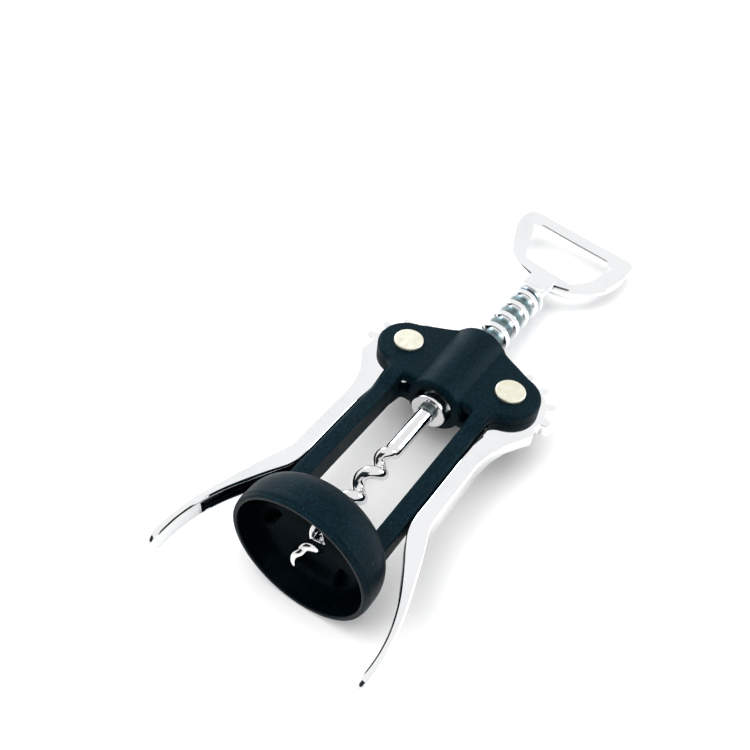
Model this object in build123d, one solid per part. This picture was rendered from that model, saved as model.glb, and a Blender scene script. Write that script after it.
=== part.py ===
from build123d import *
import math
import os

# Wing corkscrew, in millimetres. Y is the screw's axis, from the bell's mouth toward the handle.
# X runs across the two levers and Z is normal to the plane they swing in.

# Bell that sits on the bottle's neck
BELL_RADIUS = 21.2
BELL_LIP_STEP = 0.4
BELL_LIP_LENGTH = 0.7
BELL_WALL = 1.8
BELL_STRAIGHT = 4.5
BELL_HEIGHT = 17.6
BELL_TOP_WALL = 2.0
BELL_BORE_STRAIGHT = 4.2
DOME_POWER = 2.4
DOME_STEPS = 9
WORM_HOLE_RADIUS = 7.4
RIB_COUNT = 8
RIB_FIRST_ANGLE = 22.5
RIB_THICKNESS = 1.2
RIB_DEPTH = 4.0
RIB_START = 8.0
RIB_ROOT = 0.6
BELL_LIP_RADIUS = BELL_RADIUS - BELL_LIP_STEP
BELL_BORE_RADIUS = BELL_RADIUS - BELL_WALL

# Sleeve that guides the ringed shaft
SLEEVE_MOUTH = 66.0
SLEEVE_LENGTH = 29.4
SLEEVE_MOUTH_RADIUS = 9.0
SLEEVE_TAPER = 0.4
SLEEVE_EDGE_RADIUS = 0.9
SLEEVE_BORE_RADIUS = 6.1
SLEEVE_LAND_LENGTH = 5.4
SLEEVE_END = SLEEVE_MOUTH + SLEEVE_LENGTH

# Gear housing. Flank points are measured from the rivet.
RIVET_X = 17.75
RIVET_ABOVE_MOUTH = 13.4
LOBE_RADIUS = 9.5
PLATE_HALF_HEIGHT = 5.76
PLATE_EDGE_RADIUS = 1.1
PLATE_ABOVE_MOUTH = 1.6
LOBE_FILLET = 4.0
FLANK = [(1.75, 9.34), (-2.55, 11.5), (-6.95, 13.6), (-10.55, 15.8)]
RIVET_Y = SLEEVE_MOUTH + RIVET_ABOVE_MOUTH
PLATE_LOWER_EDGE = SLEEVE_MOUTH + PLATE_ABOVE_MOUTH

# Legs between the bell and the gear housing
LEG_WIDTH = 5.15
LEG_OUTER = 17.25
LEG_HALF_HEIGHT = 3.84
LEG_BELOW_DOME = 6.6
LEG_ABOVE_MOUTH = 8.0
LEG_SHOULDER_DROP = 4.0
LEG_EDGE_RADIUS = 1.1
LEG_ROOT = BELL_HEIGHT - LEG_BELOW_DOME
LEG_TOP = SLEEVE_MOUTH + LEG_ABOVE_MOUTH
LEG_SHOULDER = SLEEVE_MOUTH - LEG_SHOULDER_DROP

# Round rack on the shaft and the gear teeth that mesh with it
TEETH_PER_TURN = 12
GEAR_PITCH_RADIUS = 13.3
GEAR_ADDENDUM = 1.3
GEAR_DEDENDUM = 1.5
PRESSURE_ANGLE = 20.0
TOOTH_THICKNESS = 2.9
TOOTH_PHASE = -2.7
TEETH_CUT = 8
GEAR_HALF_THICKNESS = 2.1
RING_ADDENDUM = 1.05
RING_DEDENDUM = 1.45
RING_EDGE_RADIUS = 0.4
RING_BELOW_RIVET = 10.22
RING_NECK_CLEARANCE = 0.4
GEAR_TIP_RADIUS = GEAR_PITCH_RADIUS + GEAR_ADDENDUM
GEAR_ROOT_RADIUS = GEAR_PITCH_RADIUS - GEAR_DEDENDUM
RACK_PITCH = 2 * math.pi * GEAR_PITCH_RADIUS / TEETH_PER_TURN
RACK_PITCH_LINE = RIVET_X - GEAR_PITCH_RADIUS
RING_CREST_RADIUS = RACK_PITCH_LINE + RING_ADDENDUM
RING_ROOT_RADIUS = RACK_PITCH_LINE - RING_DEDENDUM
RING_FIRST_Y = RIVET_Y - RING_BELOW_RIVET

# Named clearances
SLOT_CLEARANCE = 0.1
SLOT_TIP_CLEARANCE = 0.4
HINGE_CLEARANCE = 0.05
LAND_CLEARANCE = 0.08
PRESS_CLEARANCE = 0.02
WASHER_CLEARANCE = 0.04
ARM_LEG_CLEARANCE = 0.25

# Lever arms. Neck points are measured from the rivet, and the handle end's outer, inner and
# hollow points give the distance from the arm's straight edge and the height above the bell's mouth.
ARM_HALF_HEIGHT = 3.36
ARM_DEPTH = 5.3
ARM_RAMP_START = 29.4
ARM_RAMP_LENGTH = 10.0
ARM_NECK_EDGE = [
    (-27.4, 0.0),
    (-22.9, 0.5),
    (-18.9, 1.3),
    (-15.4, 2.5),
    (-13.2, 3.7),
    (-10.0, 5.6),
    (-7.5, 7.1),
]
ARM_SHOULDER = (-4.8, 6.5)
ARM_OUTER_EDGE = [(0.0, 28.0), (0.6, 25.0), (3.1, 18.0), (6.8, 6.5), (8.8, -1.2), (9.8, -8.0), (10.1, -14.5)]
ARM_TIP = [(9.95, -17.6), (9.1, -19.0), (8.05, -17.9)]
ARM_INNER_EDGE = [
    (13.4, -13.5),
    (13.2, -8.6),
    (12.1, -2.6),
    (9.7, 4.5),
    (5.3, 13.5),
    (1.1, 21.6),
    (0.0, 27.0),
]
ARM_FLANGE = 1.3
HOLLOW_BELOW_RIVET = 31.4
HOLLOW_EDGE = [(-1.9, 27.5), (-1.3, 24.6), (1.2, 17.5), (5.1, 6.0), (7.5, -1.6), (8.7, -8.2), (9.0, -13.0)]
HOLLOW_REACH = 8.0
TIP_ROUND = 3.0
TIP_OVERRUN = 0.5
ARM_INNER = LEG_OUTER + ARM_LEG_CLEARANCE
ARM_OUTER = ARM_INNER + ARM_DEPTH

# Rivets and their back washers
RIVET_RADIUS = 3.0
RIVET_HEAD_RADIUS = 4.62
RIVET_HEAD_HEIGHT = 1.3
RIVET_HEAD_EDGE = 0.45
RIVET_TAIL_RADIUS = 4.0
RIVET_TAIL_HEIGHT = 0.9
BACK_WASHER_RADIUS = 4.7
BACK_WASHER_THICKNESS = 0.6

# Guide washer on the shaft's lower end
WASHER_RADIUS = 5.6
WASHER_BELOW_MOUTH = 3.2
WASHER_THICKNESS = 1.5
WASHER_EDGE = 0.3
WASHER_BOTTOM = SLEEVE_MOUTH - WASHER_BELOW_MOUTH

# Ringed shaft
TENON_RADIUS = 2.2
TENON_LENGTH = 7.0
SHAFT_BELOW_WASHER = 1.4
SHAFT_SHOULDER_STEP = 0.9
JOURNAL_RADIUS = 2.6
SHAFT_LIP_STEP = 0.3
SHAFT_LIP_EDGE = 0.2
SHAFT_LIP_LENGTH = 0.7
SHANK_HOLE_DEPTH = 14.6
SHAFT_END = WASHER_BOTTOM - SHAFT_BELOW_WASHER

# Worm
SHANK_RADIUS = 1.7
ROD_RADIUS = 2.6
ROD_LENGTH = 19.6
ROD_END_ROUND = 3.0
WIRE_RADIUS = 1.85
HELIX_RADIUS = 1.95
HELIX_PITCH = 10.2
HELIX_PHASE_Y = 32.9
HELIX_ABOVE_END = 2.9
HELIX_BLEND = 5.2
WORM_TIP_Y = 0.3
TIP_TURN = 1.7
TIP_TURN_START = 25.0
TIP_OFFSET = 2.45
TIP_DIP = 1.35
WORM_TIP_RADIUS = 0.25
WIRE_STATIONS = [0, 0.3, 0.6, 0.82]
PATH_STEP = 0.9
TIP_BEND_START = 5.2
PIN_RADIUS = 0.7
PIN_HALF_LENGTH = 2.9
PIN_RING_GAP = 0.5
ROD_END = SHAFT_END - ROD_LENGTH
HELIX_TOP = ROD_END + HELIX_ABOVE_END

# Handle, which is also the cap lifter. Heights are measured from the neck's lower face.
RACK_TRAVEL = 32.0
HANDLE_ROLL = 4.8
HANDLE_HALF_THICKNESS = 2.9
HANDLE_PLATE_THICKNESS = 3.0
HANDLE_EDGE_RADIUS = 1.0
NEAR_BAR = [(-12.0, 9.0), (14.0, 9.0), (14.0, 19.0), (-12.0, 19.0)]
NECK_COLLAR_RADIUS = 6.0
NECK_COLLAR_LENGTH = 1.4
NECK_COLLAR_EDGE = 0.4
NECK_SECTIONS = [(1.2, 5.4, 5.4), (3.6, 5.1, 4.5), (6.3, 5.0, 2.9), (10.0, 5.4, 2.5), (13.0, 5.7, 2.3)]
TAB_START = 6.3
TAB_LENGTH = 7.0
TAB_HALF_WIDTH = 4.6
HANDLE_CORNERS = [
    ((4.5, 10.7), 4.0),
    ((10.6, 12.6), 6.0),
    ((17.2, 16.4), 10.0),
    ((21.4, 23.2), 12.0),
    ((22.9, 31.1), 10.0),
    ((22.9, 42.2), 2.6),
    ((-20.6, 44.7), 3.2),
    ((-21.9, 38.1), 8.0),
    ((-20.9, 30.1), 10.0),
    ((-16.6, 18.6), 9.0),
    ((-10.5, 12.8), 6.0),
    ((-4.3, 10.8), 4.0),
]
OPENING_NEAR = [(-9.0, 17.3), (9.0, 15.7)]
OPENING_RIGHT = [(13.4, 21.6), (16.5, 33.2)]
OPENING_FAR = [(14.0, 36.5), (-13.4, 38.2)]
OPENING_LEFT = [(-15.4, 36.0), (-11.3, 21.6)]
OPENING_CORNER = 1.4
NECK_START = SLEEVE_END + RACK_TRAVEL
SOCKET_DEPTH = TENON_LENGTH + 0.1
RING_HALF_ROOT = TOOTH_THICKNESS / 2 + RING_DEDENDUM * math.tan(math.radians(PRESSURE_ANGLE))
RING_ROOM = NECK_START - RING_NECK_CLEARANCE - RING_HALF_ROOT - RING_FIRST_Y
RING_COUNT = 1 + int(RING_ROOM / RACK_PITCH)


def face_of(*lines):
    """Close a chain of lines, arcs and splines into a flat face."""
    return make_face(Curve() + list(lines))


def turned(*lines):
    """Turn a half profile, X as radius and Y as height, about the screw's axis."""
    return revolve(face_of(*lines), Axis.Y)


def turned_polygon(points):
    return turned(Polyline(*points, close=True))


def mirrored(shape):
    return mirror(shape, Plane.YZ)


def slab(face, half_height):
    """Extrude a face to both sides of the lever plane."""
    return extrude(face, half_height, both=True)


def dome_points(radius, start, top, power, inner_radius):
    """Superellipse from the straight wall to the hole at the dome's top."""
    rise = top - start
    last = math.asin(1.0)
    hole = math.acos((inner_radius / radius) ** (power / 2))
    points = []
    for step in range(DOME_STEPS + 1):
        angle = min(hole * step / DOME_STEPS, last)
        r = radius * math.cos(angle) ** (2 / power)
        y = start + rise * math.sin(angle) ** (2 / power)
        points.append((r, y))
    return points


def bell_shell():
    outer = dome_points(BELL_RADIUS, BELL_STRAIGHT, BELL_HEIGHT, DOME_POWER, WORM_HOLE_RADIUS)
    bore_top = BELL_HEIGHT - BELL_TOP_WALL
    inner = dome_points(BELL_BORE_RADIUS, BELL_BORE_STRAIGHT, bore_top, DOME_POWER, WORM_HOLE_RADIUS)
    lip = [(BELL_BORE_RADIUS, 0), (BELL_LIP_RADIUS, 0), (BELL_LIP_RADIUS, BELL_LIP_LENGTH)]
    wall = [(BELL_RADIUS, BELL_LIP_LENGTH + BELL_RADIUS - BELL_LIP_RADIUS), outer[0]]
    return turned(
        Polyline(*lip, *wall),
        Spline(*outer, tangents=[(0, 1), (-1, 0)]),
        Line(outer[-1], inner[-1]),
        Spline(*inner, tangents=[(0, 1), (-1, 0)]),
        Line(inner[0], (BELL_BORE_RADIUS, 0)),
    )


def bell_cavity():
    """The room inside the bell, cut away from whatever is joined to its outside."""
    bore_top = BELL_HEIGHT - BELL_TOP_WALL
    inner = dome_points(BELL_BORE_RADIUS, BELL_BORE_STRAIGHT, bore_top, DOME_POWER, WORM_HOLE_RADIUS)
    return turned(
        Polyline((0, 0), (BELL_BORE_RADIUS, 0), inner[0]),
        Spline(*inner, tangents=[(0, 1), (-1, 0)]),
        Polyline(inner[-1], (WORM_HOLE_RADIUS, BELL_HEIGHT), (0, BELL_HEIGHT), (0, 0)),
    )


def bell_ribs():
    """Radial ribs that centre the bottle's neck."""
    length = RIB_DEPTH + RIB_ROOT
    height = BELL_HEIGHT - RIB_START
    centre = BELL_BORE_RADIUS - RIB_DEPTH + length / 2
    blade = Pos(centre, RIB_START + height / 2) * Box(length, height, RIB_THICKNESS)
    ribs = Part()
    for index in range(RIB_COUNT):
        ribs += Rot(0, RIB_FIRST_ANGLE + index * 360 / RIB_COUNT, 0) * blade
    room = bell_cavity() + bell_shell()
    return ribs & room


def lobe_fillet_face():
    """Concave web between a leg's outer side and the round lobe above it."""
    reach = LOBE_RADIUS + LOBE_FILLET
    across = LEG_OUTER + LOBE_FILLET - RIVET_X
    centre_x = LEG_OUTER + LOBE_FILLET
    centre_y = RIVET_Y - math.sqrt(reach ** 2 - across ** 2)
    share = LOBE_RADIUS / reach
    touch = (RIVET_X + across * share, RIVET_Y + (centre_y - RIVET_Y) * share)
    start = math.radians(180)
    end = math.atan2(touch[1] - centre_y, touch[0] - centre_x)
    middle_angle = (start + end) / 2
    away = polar(LOBE_FILLET, middle_angle)
    middle = (centre_x + away[0], centre_y + away[1])
    inside = LEG_OUTER - LEG_WIDTH / 2
    return face_of(
        ThreePointArc((LEG_OUTER, centre_y), middle, touch),
        Polyline(touch, (RIVET_X, RIVET_Y), (inside, RIVET_Y), (inside, centre_y), (LEG_OUTER, centre_y)),
    )


def housing_face():
    """Outline of one half of the gear housing's plates."""
    edge = [(RIVET_X + x, RIVET_Y + y) for x, y in FLANK]
    flank = face_of(
        Polyline((0, PLATE_LOWER_EDGE), (LEG_OUTER, PLATE_LOWER_EDGE), (RIVET_X, RIVET_Y), edge[0]),
        Spline(*edge),
        Polyline(edge[-1], (0, edge[-1][1]), (0, PLATE_LOWER_EDGE)),
    )
    lobe = Pos(RIVET_X, RIVET_Y) * Circle(LOBE_RADIUS)
    middle = (LEG_TOP + LEG_SHOULDER) / 2
    leg_top = Pos(LEG_OUTER - LEG_WIDTH / 2, middle) * Rectangle(LEG_WIDTH, LEG_TOP - LEG_SHOULDER)
    half = flank + lobe + leg_top + lobe_fillet_face()
    return half


def housing_block():
    half = housing_face()
    block = slab(half + mirrored(half), PLATE_HALF_HEIGHT)
    rims = block.faces().filter_by(Axis.Z).edges()
    return fillet(rims, PLATE_EDGE_RADIUS)


def leg():
    place = Pos(LEG_OUTER - LEG_WIDTH / 2, (LEG_ROOT + LEG_TOP) / 2)
    bar = place * Box(LEG_WIDTH, LEG_TOP - LEG_ROOT, 2 * LEG_HALF_HEIGHT)
    outer_edges = bar.edges().filter_by(Axis.Y).group_by(Axis.X)[-1]
    return fillet(outer_edges, LEG_EDGE_RADIUS)


def sleeve():
    barrel = turned_polygon([
        (0, SLEEVE_MOUTH),
        (SLEEVE_MOUTH_RADIUS, SLEEVE_MOUTH),
        (SLEEVE_MOUTH_RADIUS + SLEEVE_TAPER, SLEEVE_END),
        (0, SLEEVE_END),
    ])
    return fillet(barrel.edges().filter_by(GeomType.CIRCLE), SLEEVE_EDGE_RADIUS)


def sleeve_bore():
    land = RING_CREST_RADIUS + LAND_CLEARANCE
    step = SLEEVE_BORE_RADIUS - land
    land_start = SLEEVE_END - SLEEVE_LAND_LENGTH
    return turned_polygon([
        (0, SLEEVE_MOUTH - 1),
        (SLEEVE_BORE_RADIUS, SLEEVE_MOUTH - 1),
        (SLEEVE_BORE_RADIUS, land_start),
        (land, land_start + step),
        (land, SLEEVE_END + 1),
        (0, SLEEVE_END + 1),
    ])


def gear_slot():
    """Disc-shaped pocket in which one lever's toothed disc turns."""
    radius = GEAR_TIP_RADIUS + SLOT_TIP_CLEARANCE
    half_gap = GEAR_HALF_THICKNESS + SLOT_CLEARANCE
    return Pos(RIVET_X, RIVET_Y) * Cylinder(radius, 2 * half_gap)


def rivet_hole(clearance):
    return Pos(RIVET_X, RIVET_Y) * Cylinder(RIVET_RADIUS + clearance, 4 * PLATE_HALF_HEIGHT)


def frame_part():
    legs = leg() + mirrored(leg())
    body = housing_block() + sleeve() + legs + bell_shell()
    body -= bell_cavity()
    body += bell_ribs()
    body -= sleeve_bore()
    for cutter in (gear_slot(), rivet_hole(PRESS_CLEARANCE)):
        body -= cutter
        body -= mirrored(cutter)
    return body


def involute(angle):
    return math.tan(angle) - angle


def tooth_half_angle(radius):
    """Half the angle a gear tooth spans at a radius, from the involute's law."""
    base = GEAR_PITCH_RADIUS * math.cos(math.radians(PRESSURE_ANGLE))
    pitch_half = TOOTH_THICKNESS / 2 / GEAR_PITCH_RADIUS
    if radius <= base:
        return pitch_half + involute(math.radians(PRESSURE_ANGLE))
    return pitch_half + involute(math.radians(PRESSURE_ANGLE)) - involute(math.acos(base / radius))


def polar(radius, angle):
    return (radius * math.cos(angle), radius * math.sin(angle))


def tooth_face():
    """One gear tooth about the X axis, with its flanks as arcs through three involute points."""
    tip = tooth_half_angle(GEAR_TIP_RADIUS)
    middle_radius = GEAR_PITCH_RADIUS
    middle = tooth_half_angle(middle_radius)
    base = GEAR_PITCH_RADIUS * math.cos(math.radians(PRESSURE_ANGLE))
    foot = tooth_half_angle(base)
    inside = GEAR_ROOT_RADIUS - 1.0
    return face_of(
        Line(polar(inside, -foot), polar(base, -foot)),
        ThreePointArc(polar(base, -foot), polar(middle_radius, -middle), polar(GEAR_TIP_RADIUS, -tip)),
        ThreePointArc(polar(GEAR_TIP_RADIUS, -tip), (GEAR_TIP_RADIUS, 0), polar(GEAR_TIP_RADIUS, tip)),
        ThreePointArc(polar(GEAR_TIP_RADIUS, tip), polar(middle_radius, middle), polar(base, foot)),
        Line(polar(base, foot), polar(inside, foot)),
        Line(polar(inside, foot), polar(inside, -foot)),
    )


def gear_face():
    disc = Circle(GEAR_ROOT_RADIUS)
    for index in range(TEETH_CUT):
        disc += Rot(0, 0, TOOTH_PHASE + index * 360 / TEETH_PER_TURN) * tooth_face()
    return Pos(RIVET_X, RIVET_Y) * disc


def from_outer(points):
    """Points given as distance outward from the arm's straight outer edge, and height."""
    return [(ARM_OUTER + x, y) for x, y in points]


def neck_point(offset):
    """A point of the neck, given as height above the rivet and distance from the outer edge."""
    return (ARM_OUTER + offset[1], RIVET_Y + offset[0])


def arm_face():
    outer = from_outer(ARM_OUTER_EDGE)
    tip = from_outer(ARM_TIP)
    inner = [(ARM_INNER + x, y) for x, y in ARM_INNER_EDGE]
    neck_edge = [neck_point(offset) for offset in ARM_NECK_EDGE]
    shoulder = neck_point(ARM_SHOULDER)
    return face_of(
        Spline(*neck_edge, tangents=[(0, 1), (0.5, 0.9)]),
        Polyline(neck_edge[-1], shoulder, (ARM_INNER, RIVET_Y), inner[-1]),
        Spline(*inner, tangents=[(0, 1), (0, 1)]),
        Line(inner[0], tip[-1]),
        ThreePointArc(*tip),
        Line(tip[0], outer[-1]),
        Spline(*outer, tangents=[(0, -1), (0, -1)]),
        Line(outer[0], neck_edge[0]),
    )


def arm_side_face():
    """Side outline of an arm on the YZ plane, thin at the gear and rounded at the tip."""
    low = ARM_TIP[1][1] - TIP_OVERRUN
    start = low + TIP_ROUND
    top = RIVET_Y + 1
    ramp = RIVET_Y - ARM_RAMP_START
    thin = ramp + ARM_RAMP_LENGTH
    upper = [(start, ARM_HALF_HEIGHT), (ramp, ARM_HALF_HEIGHT)]
    upper += [(thin, GEAR_HALF_THICKNESS), (top, GEAR_HALF_THICKNESS)]
    lower = [(y, -z) for y, z in reversed(upper)]
    return Plane.YZ * face_of(
        Polyline(*upper, *lower),
        ThreePointArc(lower[-1], (low, 0), upper[0]),
    )


def arm_hollow():
    """Channel inside the arm, open toward the screw."""
    wall = from_outer(HOLLOW_EDGE)
    top = RIVET_Y - HOLLOW_BELOW_RIVET
    mouth = ARM_INNER - HOLLOW_REACH
    face = face_of(
        Line((wall[0][0], top), wall[0]),
        Spline(*wall, tangents=[(0, -1), (0, -1)]),
        Polyline(wall[-1], (mouth, wall[-1][1]), (mouth, top), (wall[0][0], top)),
    )
    return slab(face, ARM_HALF_HEIGHT - ARM_FLANGE)


def lever_right():
    arm = slab(arm_face(), ARM_HALF_HEIGHT) & extrude(arm_side_face(), 40)
    gear = slab(gear_face(), GEAR_HALF_THICKNESS)
    return arm - arm_hollow() + gear - rivet_hole(HINGE_CLEARANCE)


def rivet_right():
    head_top = PLATE_HALF_HEIGHT + RIVET_HEAD_HEIGHT
    tail_start = -PLATE_HALF_HEIGHT - BACK_WASHER_THICKNESS
    tail_end = tail_start - RIVET_TAIL_HEIGHT
    middle = (PLATE_HALF_HEIGHT + tail_start) / 2
    shank = Pos(0, 0, middle) * Cylinder(RIVET_RADIUS, PLATE_HALF_HEIGHT - tail_start)
    head = Pos(0, 0, head_top - RIVET_HEAD_HEIGHT / 2) * Cylinder(RIVET_HEAD_RADIUS, RIVET_HEAD_HEIGHT)
    head = fillet(head.edges().group_by(Axis.Z)[-1], RIVET_HEAD_EDGE)
    tail = Pos(0, 0, (tail_start + tail_end) / 2) * Cylinder(RIVET_TAIL_RADIUS, RIVET_TAIL_HEIGHT)
    tail = fillet(tail.edges().group_by(Axis.Z)[0], RIVET_HEAD_EDGE)
    return Pos(RIVET_X, RIVET_Y) * (shank + head + tail)


def rivet_washer_right():
    ring = Cylinder(BACK_WASHER_RADIUS, BACK_WASHER_THICKNESS)
    ring -= Cylinder(RIVET_RADIUS + PRESS_CLEARANCE, 2 * BACK_WASHER_THICKNESS)
    return Pos(RIVET_X, RIVET_Y, -PLATE_HALF_HEIGHT - BACK_WASHER_THICKNESS / 2) * ring


def rack_ring(centre_y):
    """One ring of the round rack, with straight flanks at the pressure angle."""
    slope = math.tan(math.radians(PRESSURE_ANGLE))
    pitch_half = TOOTH_THICKNESS / 2
    crest_half = pitch_half - (RING_CREST_RADIUS - RACK_PITCH_LINE) * slope
    inside = RING_ROOT_RADIUS - 0.5
    ring = turned_polygon([
        (inside, centre_y - RING_HALF_ROOT),
        (RING_ROOT_RADIUS, centre_y - RING_HALF_ROOT),
        (RING_CREST_RADIUS, centre_y - crest_half),
        (RING_CREST_RADIUS, centre_y + crest_half),
        (RING_ROOT_RADIUS, centre_y + RING_HALF_ROOT),
        (inside, centre_y + RING_HALF_ROOT),
    ])
    circles = ring.edges().filter_by(GeomType.CIRCLE)
    crest_edges = circles.filter_by(lambda edge: abs(edge.radius - RING_CREST_RADIUS) < 0.01)
    return fillet(crest_edges, RING_EDGE_RADIUS)


def rack_shaft():
    shoulder_y = WASHER_BOTTOM + WASHER_THICKNESS
    shoulder = RING_ROOT_RADIUS + SHAFT_SHOULDER_STEP
    lip = JOURNAL_RADIUS + SHAFT_LIP_STEP
    core = turned_polygon([
        (0, SHAFT_END),
        (lip - SHAFT_LIP_EDGE, SHAFT_END),
        (lip, SHAFT_END + SHAFT_LIP_EDGE),
        (lip, SHAFT_END + SHAFT_LIP_LENGTH),
        (JOURNAL_RADIUS, SHAFT_END + SHAFT_LIP_LENGTH),
        (JOURNAL_RADIUS, shoulder_y),
        (shoulder, shoulder_y),
        (shoulder, RING_FIRST_Y - 1),
        (RING_ROOT_RADIUS, RING_FIRST_Y),
        (RING_ROOT_RADIUS, NECK_START - 1),
        (TENON_RADIUS, NECK_START),
        (TENON_RADIUS, NECK_START + TENON_LENGTH),
        (0, NECK_START + TENON_LENGTH),
    ])
    for index in range(RING_COUNT):
        core += rack_ring(RING_FIRST_Y + index * RACK_PITCH)
    place = Pos(0, SHAFT_END + SHANK_HOLE_DEPTH / 2) * Rot(90, 0, 0)
    return core - place * Cylinder(SHANK_RADIUS + PRESS_CLEARANCE, SHANK_HOLE_DEPTH) - pin_hole()


def pin_place():
    """Centre of the cross pin, in the gap above the lowest ring."""
    return Pos(0, RING_FIRST_Y + PIN_RING_GAP * RACK_PITCH)


def pin_hole():
    return pin_place() * Rot(0, 90, 0) * Cylinder(PIN_RADIUS + PRESS_CLEARANCE, 4 * PIN_HALF_LENGTH)


def worm_pin():
    return pin_place() * Rot(0, 90, 0) * Cylinder(PIN_RADIUS, 2 * PIN_HALF_LENGTH)


def guide_washer():
    top = WASHER_BOTTOM + WASHER_THICKNESS
    hole = JOURNAL_RADIUS + WASHER_CLEARANCE
    return turned_polygon([
        (hole, WASHER_BOTTOM + PRESS_CLEARANCE),
        (WASHER_RADIUS - WASHER_EDGE, WASHER_BOTTOM + PRESS_CLEARANCE),
        (WASHER_RADIUS, WASHER_BOTTOM + WASHER_EDGE),
        (WASHER_RADIUS, top - WASHER_EDGE),
        (WASHER_RADIUS - WASHER_EDGE, top - PRESS_CLEARANCE),
        (hole, top - PRESS_CLEARANCE),
    ])


def worm_centre(y):
    """Centre line of the wire: straight inside the rod, then a right-handed helix.

    Toward the point the turns close up a little. The wire dips toward the axis at its end, and
    the point itself lies on the coil's outer side.
    """
    turn = 2 * math.pi * (y - HELIX_PHASE_Y) / HELIX_PITCH
    turn -= TIP_TURN * max(TIP_TURN_START - y, 0.0) ** 2 / TIP_TURN_START ** 2
    share = min(max((HELIX_TOP - y) / HELIX_BLEND, 0.0), 1.0)
    swing = HELIX_RADIUS * share * share * (3 - 2 * share)
    last = max(TIP_BEND_START - y, 0.0) / TIP_BEND_START
    swing += TIP_OFFSET * last ** 4 - TIP_DIP * math.sin(math.pi * last) ** 2
    return Vector(swing * math.sin(turn), y, swing * math.cos(turn))


def worm_rod():
    """Straight rod with a rounded lower end, and a thinner shank that enters the shaft."""
    shank_top = SHAFT_END + SHANK_HOLE_DEPTH
    shoulder = SHAFT_END - PRESS_CLEARANCE
    start = ROD_END + ROD_END_ROUND
    half = math.sqrt(0.5)
    return turned(
        Polyline(
            (0, shank_top),
            (SHANK_RADIUS, shank_top),
            (SHANK_RADIUS, shoulder),
            (ROD_RADIUS, shoulder),
            (ROD_RADIUS, start),
        ),
        Spline(
            (ROD_RADIUS, start),
            (ROD_RADIUS * half, start - ROD_END_ROUND * half),
            (0, ROD_END),
            tangents=[(0, -1), (-1, 0)],
        ),
        Line((0, ROD_END), (0, shank_top)),
    )


def worm():
    top = ROD_END + ROD_END_ROUND
    count = round((top - WORM_TIP_Y) / PATH_STEP)
    heights = [top + (WORM_TIP_Y - top) * step / count for step in range(count + 1)]
    path = Spline(*[worm_centre(y) for y in heights])
    stations = [(place, WIRE_RADIUS) for place in WIRE_STATIONS] + [(1, WORM_TIP_RADIUS)]
    sections = []
    for place, radius in stations:
        sections.append(Plane(origin=path @ place, z_dir=path % place) * Circle(radius))
    return worm_rod() + sweep(sections, path, multisection=True) - pin_hole()


def neck():
    """Round collar, and a neck that flattens from the shaft's round to the handle's ring."""
    collar_top = NECK_START + NECK_COLLAR_LENGTH
    collar = turned_polygon([
        (0, NECK_START),
        (NECK_COLLAR_RADIUS - NECK_COLLAR_EDGE, NECK_START),
        (NECK_COLLAR_RADIUS, NECK_START + NECK_COLLAR_EDGE),
        (NECK_COLLAR_RADIUS, collar_top - NECK_COLLAR_EDGE),
        (NECK_COLLAR_RADIUS - NECK_COLLAR_EDGE, collar_top),
        (0, collar_top),
    ])
    sections = []
    for height, half_width, half_height in NECK_SECTIONS:
        place = Plane(origin=(0, NECK_START + height, 0), x_dir=(1, 0, 0), z_dir=(0, 1, 0))
        sections.append(place * Ellipse(half_width, half_height))
    middle = NECK_START + TAB_START + TAB_LENGTH / 2
    tab = Pos(0, middle) * Box(2 * TAB_HALF_WIDTH, TAB_LENGTH, 2 * HANDLE_HALF_THICKNESS)
    return collar + loft(sections) + tab


def above_neck(points):
    return [(x, NECK_START + y) for x, y in points]


def opening_face():
    """Window in the handle that hooks over a crown cap."""
    corners = above_neck(OPENING_NEAR + OPENING_RIGHT + OPENING_FAR + OPENING_LEFT)
    face = make_face(Polyline(*corners, close=True))
    return fillet(face.vertices(), OPENING_CORNER)


def handle_outline():
    """D-shaped outline, each corner rounded by its own radius."""
    corners = above_neck([corner for corner, radius in HANDLE_CORNERS])
    face = make_face(Polyline(*corners, close=True))
    for corner, (drawn, radius) in zip(corners, HANDLE_CORNERS):
        face = fillet(face.vertices().sort_by_distance(corner)[0], radius)
    return face


def rounded_ring(thickness):
    """D-shaped ring with its upper face at the neck's flat, and its rims rounded."""
    half = thickness / 2
    ring = slab(handle_outline(), half) - slab(opening_face(), thickness)
    rims = ring.faces().filter_by(Axis.Z).edges()
    return Pos(0, 0, HANDLE_HALF_THICKNESS - half) * fillet(rims, HANDLE_EDGE_RADIUS)


def handle_ring():
    """Plate-like ring whose near bar, next to the neck, is as thick as the neck's tab."""
    near = slab(make_face(Polyline(*above_neck(NEAR_BAR), close=True)), 2 * HANDLE_HALF_THICKNESS)
    return rounded_ring(HANDLE_PLATE_THICKNESS) + (rounded_ring(2 * HANDLE_HALF_THICKNESS) & near)


def cap_lifter():
    solid = Rot(0, HANDLE_ROLL, 0) * (handle_ring() + neck())
    socket = Pos(0, NECK_START + SOCKET_DEPTH / 2) * Rot(90, 0, 0)
    return solid - socket * Cylinder(TENON_RADIUS + PRESS_CLEARANCE, SOCKET_DEPTH)


def save(name, shape):
    shape.label = name
    export_step(shape, "parts/" + name + ".step")


def main():
    os.makedirs("parts", exist_ok=True)
    save("frame", frame_part())
    save("lever_right", lever_right())
    save("lever_left", mirrored(lever_right()))
    save("rivet_right", rivet_right())
    save("rivet_left", mirrored(rivet_right()))
    save("rivet_washer_right", rivet_washer_right())
    save("rivet_washer_left", mirrored(rivet_washer_right()))
    save("rack_shaft", rack_shaft())
    save("guide_washer", guide_washer())
    save("worm", worm())
    save("worm_pin", worm_pin())
    save("cap_lifter", cap_lifter())


main()
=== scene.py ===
"""Wing corkscrew: detailed pieces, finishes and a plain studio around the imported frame."""

import math

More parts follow.
